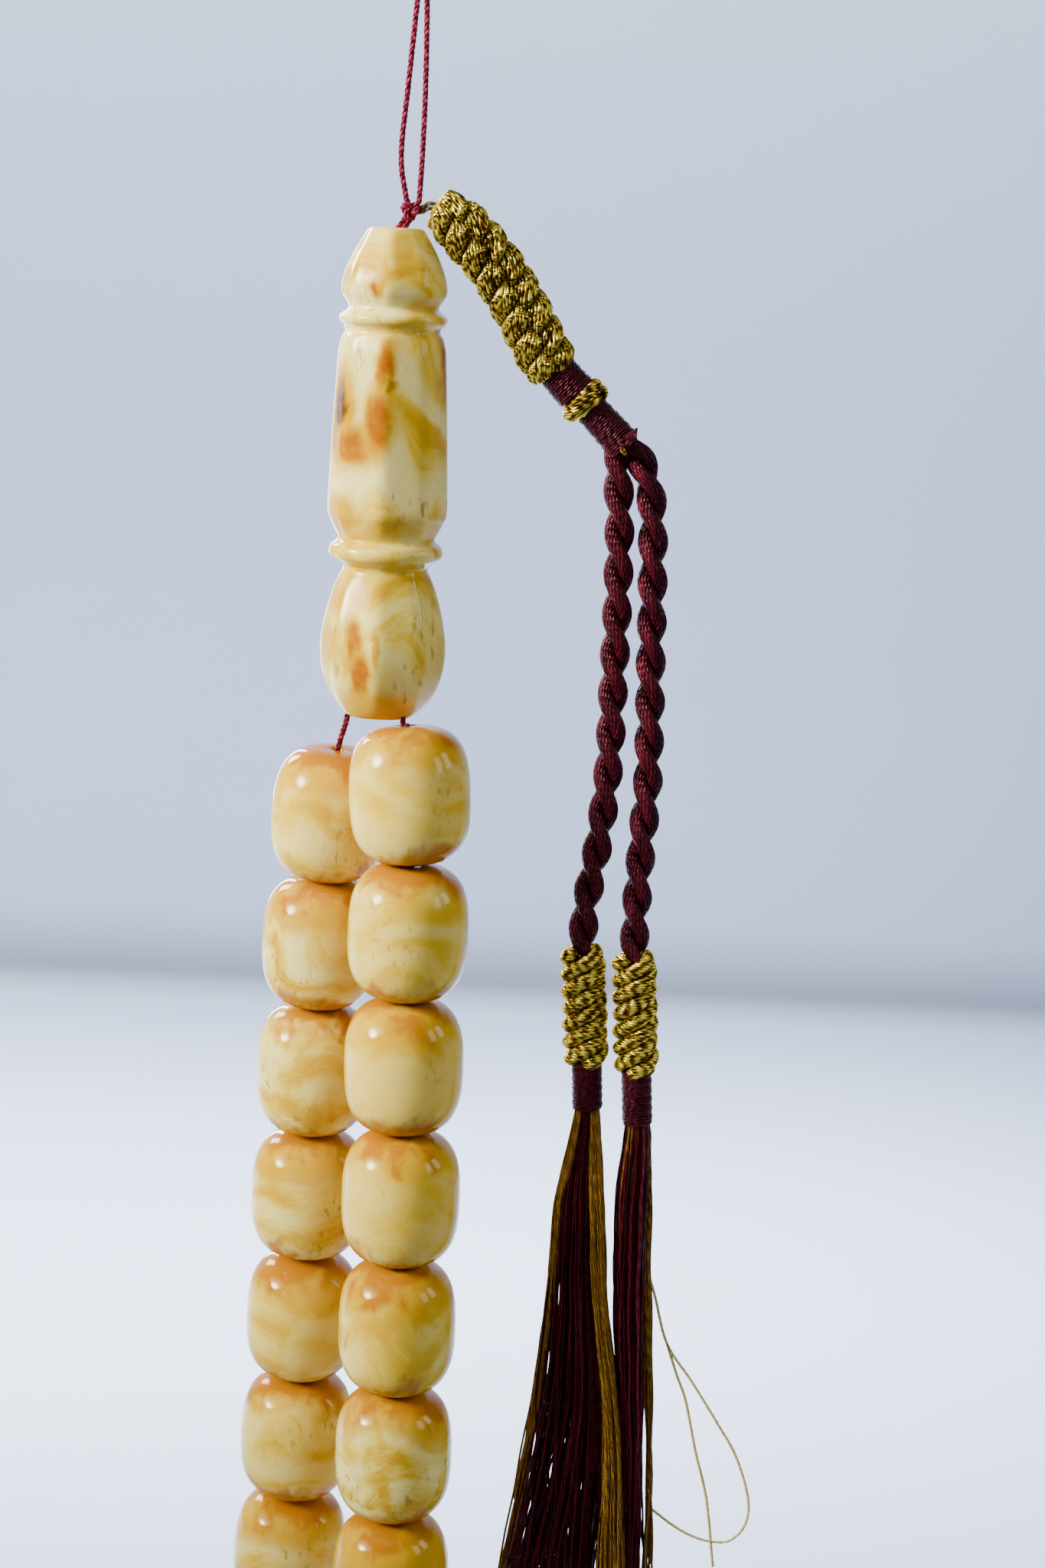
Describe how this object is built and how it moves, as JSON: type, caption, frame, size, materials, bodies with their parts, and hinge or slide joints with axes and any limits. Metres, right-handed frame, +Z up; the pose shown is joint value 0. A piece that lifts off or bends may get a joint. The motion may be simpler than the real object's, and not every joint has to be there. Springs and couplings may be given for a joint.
{
  "type": "misbaha prayer beads",
  "caption": "Hanging loop of barrel-shaped resin-amber prayer beads on a cord, with a carved octagonal head bead and a gold and burgundy rope tassel.",
  "frame": {"origin": "underside of the hang loop's bight, where a hook or finger holds the beads", "axes": "+Z up, against gravity as the beads hang; +X from the head bead towards the tassel; +Y away from the viewer"},
  "size_m": [0.0757, 0.0522, 0.3596],
  "materials": {
    "bead_resin": "polished marbled resin amber, butter and honey",
    "separator_resin": "polished resin amber",
    "head_resin": "polished carved resin amber with dark orange patches",
    "hang_thread": "bright burgundy twisted thread",
    "stringing_thread": "burgundy twisted thread",
    "gold_braid_yarn": "braided metallic gold cords",
    "gold_sleeve_yarn": "knotted metallic gold yarn",
    "old_gold_thread": "loose old-gold threads",
    "brown_cord": "dark olive-brown cord",
    "rope_yarn": "two-ply twisted burgundy yarn",
    "skirt_thread": "loose burgundy threads",
    "burgundy_binding": "tight burgundy whipping"
  },
  "bodies": {
    "head_bead": {"imame_head_bead": "head_resin", "crown_knot": "burgundy_binding", "hang_loop": "hang_thread", "stringing_cord": "stringing_thread"},
    "left_run": {"bead_01": "bead_resin"},
    "tassel_head": {"link_cord": "brown_cord", "gold_braid": "gold_braid_yarn", "braid_core": "burgundy_binding", "upper_whip": "burgundy_binding", "gold_band": "gold_sleeve_yarn", "lower_whip": "burgundy_binding", "singed_end": "burgundy_binding"},
    "rope_left": {"rope_left": "rope_yarn", "gold_sleeve_left": "gold_sleeve_yarn", "whip_left": "burgundy_binding"},
    "rope_right": {"rope_right": "rope_yarn", "gold_sleeve_right": "gold_sleeve_yarn", "whip_right": "burgundy_binding"},
    "skirt_left": {"skirt_left": "skirt_thread", "gold_threads_left": "old_gold_thread"},
    "skirt_right": {"skirt_right": "skirt_thread", "gold_threads_right": "old_gold_thread", "stray_gold_thread": "old_gold_thread"},
    "bead_02_body": {"bead_02": "bead_resin"},
    "bead_03_body": {"bead_03": "bead_resin"},
    "bead_04_body": {"bead_04": "bead_resin"},
    "bead_05_body": {"bead_05": "bead_resin"},
    "bead_06_body": {"bead_06": "bead_resin"},
    "bead_07_body": {"bead_07": "bead_resin"},
    "bead_08_body": {"bead_08": "bead_resin"},
    "bead_09_body": {"bead_09": "bead_resin"},
    "bead_10_body": {"bead_10": "bead_resin"},
    "bead_11_body": {"bead_11": "bead_resin"},
    "bead_12_body": {"bead_12": "bead_resin"},
    "bead_13_body": {"bead_13": "bead_resin"},
    "bead_14_body": {"bead_14": "bead_resin"},
    "bead_15_body": {"bead_15": "bead_resin"},
    "bead_16_body": {"bead_16": "bead_resin"},
    "bead_17_body": {"bead_17": "bead_resin"},
    "bead_18_body": {"bead_18": "bead_resin"},
    "bead_19_body": {"bead_19": "bead_resin"},
    "bead_20_body": {"bead_20": "bead_resin"},
    "bead_21_body": {"bead_21": "bead_resin"},
    "bead_22_body": {"bead_22": "bead_resin"},
    "bead_23_body": {"bead_23": "bead_resin"},
    "bead_24_body": {"bead_24": "bead_resin"},
    "bead_25_body": {"bead_25": "bead_resin"},
    "bead_26_body": {"bead_26": "bead_resin"},
    "bead_27_body": {"bead_27": "bead_resin"},
    "bead_28_body": {"bead_28": "bead_resin"},
    "bead_29_body": {"bead_29": "bead_resin"},
    "bead_30_body": {"bead_30": "bead_resin"},
    "bead_31_body": {"bead_31": "bead_resin"},
    "bead_32_body": {"bead_32": "bead_resin"},
    "bead_33_body": {"bead_33": "bead_resin"},
    "separator_1_body": {"separator_1": "separator_resin"},
    "separator_2_body": {"separator_2": "separator_resin"}
  },
  "joints": [
    {"name": "left_run_slide", "type": "slide", "parent": "head_bead", "child": "left_run", "axis": [0, 0, 1], "range_m": [0, 0.004], "deforming": ["stringing_cord"]},
    {"name": "tassel_lift", "type": "hinge", "parent": "head_bead", "child": "tassel_head", "pos_m": [0.00095, 0, -0.0271], "axis": [0, -1, 0], "range_deg": [0, 30]},
    {"name": "rope_left_swing", "type": "hinge", "parent": "tassel_head", "child": "rope_left", "pos_m": [0.0243, 0, -0.0552], "axis": [1, 0, 0], "range_deg": [-25, 25]},
    {"name": "rope_right_swing", "type": "hinge", "parent": "tassel_head", "child": "rope_right", "pos_m": [0.0279, 0, -0.0548], "axis": [1, 0, 0], "range_deg": [-25, 25]},
    {"name": "skirt_left_swing", "type": "hinge", "parent": "rope_left", "child": "skirt_left", "pos_m": [0.0247, 0, -0.1334], "axis": [1, 0, 0], "range_deg": [-15, 15]},
    {"name": "skirt_right_swing", "type": "hinge", "parent": "rope_right", "child": "skirt_right", "pos_m": [0.0313, 0, -0.1348], "axis": [1, 0, 0], "range_deg": [-15, 15]},
    {"name": "bead_02_spin", "type": "hinge", "parent": "left_run", "child": "bead_02_body", "pos_m": [-0.00885, 0.00775, -0.11519], "axis": [0.0246, -0.0278, 0.9993], "continuous": true},
    {"name": "bead_03_spin", "type": "hinge", "parent": "left_run", "child": "bead_03_body", "pos_m": [-0.0092, 0.00814, -0.13154], "axis": [0.0176, -0.0199, 0.9996], "continuous": true},
    {"name": "bead_04_spin", "type": "hinge", "parent": "left_run", "child": "bead_04_body", "pos_m": [-0.00949, 0.00847, -0.14788], "axis": [0.0184, -0.0208, 0.9996], "continuous": true},
    {"name": "bead_05_spin", "type": "hinge", "parent": "left_run", "child": "bead_05_body", "pos_m": [-0.00982, 0.00884, -0.16422], "axis": [0.0215, -0.0243, 0.9995], "continuous": true},
    {"name": "bead_06_spin", "type": "hinge", "parent": "left_run", "child": "bead_06_body", "pos_m": [-0.0102, 0.00927, -0.18056], "axis": [0.0251, -0.0284, 0.9993], "continuous": true},
    {"name": "bead_07_spin", "type": "hinge", "parent": "left_run", "child": "bead_07_body", "pos_m": [-0.01072, 0.00986, -0.19689], "axis": [0.0385, -0.0435, 0.9983], "continuous": true},
    {"name": "bead_08_spin", "type": "hinge", "parent": "left_run", "child": "bead_08_body", "pos_m": [-0.01144, 0.01067, -0.21321], "axis": [0.0501, -0.0566, 0.9971], "continuous": true},
    {"name": "bead_09_spin", "type": "hinge", "parent": "left_run", "child": "bead_09_body", "pos_m": [-0.01238, 0.01173, -0.2295], "axis": [0.0645, -0.0729, 0.9953], "continuous": true},
    {"name": "bead_10_spin", "type": "hinge", "parent": "left_run", "child": "bead_10_body", "pos_m": [-0.01363, 0.01315, -0.24574], "axis": [0.0886, -0.1001, 0.991], "continuous": true},
    {"name": "bead_11_spin", "type": "hinge", "parent": "left_run", "child": "bead_11_body", "pos_m": [-0.01527, 0.015, -0.26191], "axis": [0.1117, -0.1262, 0.9857], "continuous": true},
    {"name": "bead_12_spin", "type": "hinge", "parent": "head_bead", "child": "bead_12_body", "pos_m": [-0.01774, 0.01779, -0.28323], "axis": [0.1152, -0.1302, 0.9848], "continuous": true},
    {"name": "bead_13_spin", "type": "hinge", "parent": "head_bead", "child": "bead_13_body", "pos_m": [-0.01967, 0.01997, -0.29932], "axis": [0.1204, -0.1361, 0.9833], "continuous": true},
    {"name": "bead_14_spin", "type": "hinge", "parent": "head_bead", "child": "bead_14_body", "pos_m": [-0.02119, 0.02169, -0.31553], "axis": [0.0649, -0.0733, 0.9952], "continuous": true},
    {"name": "bead_15_spin", "type": "hinge", "parent": "head_bead", "child": "bead_15_body", "pos_m": [-0.02014, 0.02051, -0.33218], "axis": [-0.1947, 0.22, 0.9559], "continuous": true},
    {"name": "bead_16_spin", "type": "hinge", "parent": "head_bead", "child": "bead_16_body", "pos_m": [-0.01388, 0.01343, -0.34649], "axis": [-0.5096, 0.576, 0.6392], "continuous": true},
    {"name": "bead_17_spin", "type": "hinge", "parent": "head_bead", "child": "bead_17_body", "pos_m": [-0.00247, 0.00054, -0.35161], "axis": [-0.6576, 0.7432, -0.1233], "continuous": true},
    {"name": "bead_18_spin", "type": "hinge", "parent": "head_bead", "child": "bead_18_body", "pos_m": [0.00781, -0.01109, -0.34296], "axis": [-0.4161, 0.4703, -0.7783], "continuous": true},
    {"name": "bead_19_spin", "type": "hinge", "parent": "head_bead", "child": "bead_19_body", "pos_m": [0.01237, -0.01624, -0.32739], "axis": [-0.1005, 0.1136, -0.9884], "continuous": true},
    {"name": "bead_20_spin", "type": "hinge", "parent": "head_bead", "child": "bead_20_body", "pos_m": [0.01256, -0.01646, -0.31088], "axis": [0.0734, -0.083, -0.9938], "continuous": true},
    {"name": "bead_21_spin", "type": "hinge", "parent": "head_bead", "child": "bead_21_body", "pos_m": [0.0111, -0.0148, -0.29468], "axis": [0.1056, -0.1194, -0.9872], "continuous": true},
    {"name": "bead_22_spin", "type": "hinge", "parent": "head_bead", "child": "bead_22_body", "pos_m": [0.00937, -0.01286, -0.27853], "axis": [0.105, -0.1187, -0.9874], "continuous": true},
    {"name": "bead_23_spin", "type": "hinge", "parent": "head_bead", "child": "bead_23_body", "pos_m": [0.0071, -0.01029, -0.25716], "axis": [0.1016, -0.1148, -0.9882], "continuous": true},
    {"name": "bead_24_spin", "type": "hinge", "parent": "head_bead", "child": "bead_24_body", "pos_m": [0.00564, -0.00863, -0.24095], "axis": [0.0775, -0.0876, -0.9931], "continuous": true},
    {"name": "bead_25_spin", "type": "hinge", "parent": "head_bead", "child": "bead_25_body", "pos_m": [0.00451, -0.00736, -0.22469], "axis": [0.0599, -0.0677, -0.9959], "continuous": true},
    {"name": "bead_26_spin", "type": "hinge", "parent": "head_bead", "child": "bead_26_body", "pos_m": [0.00367, -0.00641, -0.20839], "axis": [0.0438, -0.0495, -0.9978], "continuous": true},
    {"name": "bead_27_spin", "type": "hinge", "parent": "head_bead", "child": "bead_27_body", "pos_m": [0.00313, -0.0058, -0.19206], "axis": [0.0219, -0.0247, -0.9995], "continuous": true},
    {"name": "bead_28_spin", "type": "hinge", "parent": "head_bead", "child": "bead_28_body", "pos_m": [0.00289, -0.00553, -0.17571], "axis": [0.007, -0.008, -0.9999], "continuous": true},
    {"name": "bead_29_spin", "type": "hinge", "parent": "head_bead", "child": "bead_29_body", "pos_m": [0.00277, -0.0054, -0.15936], "axis": [0.0075, -0.0085, -0.9999], "continuous": true},
    {"name": "bead_30_spin", "type": "hinge", "parent": "head_bead", "child": "bead_30_body", "pos_m": [0.00267, -0.00528, -0.14301], "axis": [0.0054, -0.0061, -1], "continuous": true},
    {"name": "bead_31_spin", "type": "hinge", "parent": "head_bead", "child": "bead_31_body", "pos_m": [0.00244, -0.00502, -0.12666], "axis": [0.0226, -0.0255, -0.9994], "continuous": true},
    {"name": "bead_32_spin", "type": "hinge", "parent": "head_bead", "child": "bead_32_body", "pos_m": [0.00237, -0.00494, -0.11031], "axis": [-0.0154, 0.0174, -0.9997], "continuous": true},
    {"name": "bead_33_spin", "type": "hinge", "parent": "head_bead", "child": "bead_33_body", "pos_m": [0.00201, -0.00453, -0.09393], "axis": [0.0619, -0.07, -0.9956], "continuous": true},
    {"name": "separator_1_spin", "type": "hinge", "parent": "head_bead", "child": "separator_1_body", "pos_m": [-0.01649, 0.01638, -0.27257], "axis": [0.1167, -0.1319, 0.9844], "continuous": true},
    {"name": "separator_2_spin", "type": "hinge", "parent": "head_bead", "child": "separator_2_body", "pos_m": [0.00822, -0.01156, -0.26785], "axis": [0.1092, -0.1235, -0.9863], "continuous": true}
  ]
}
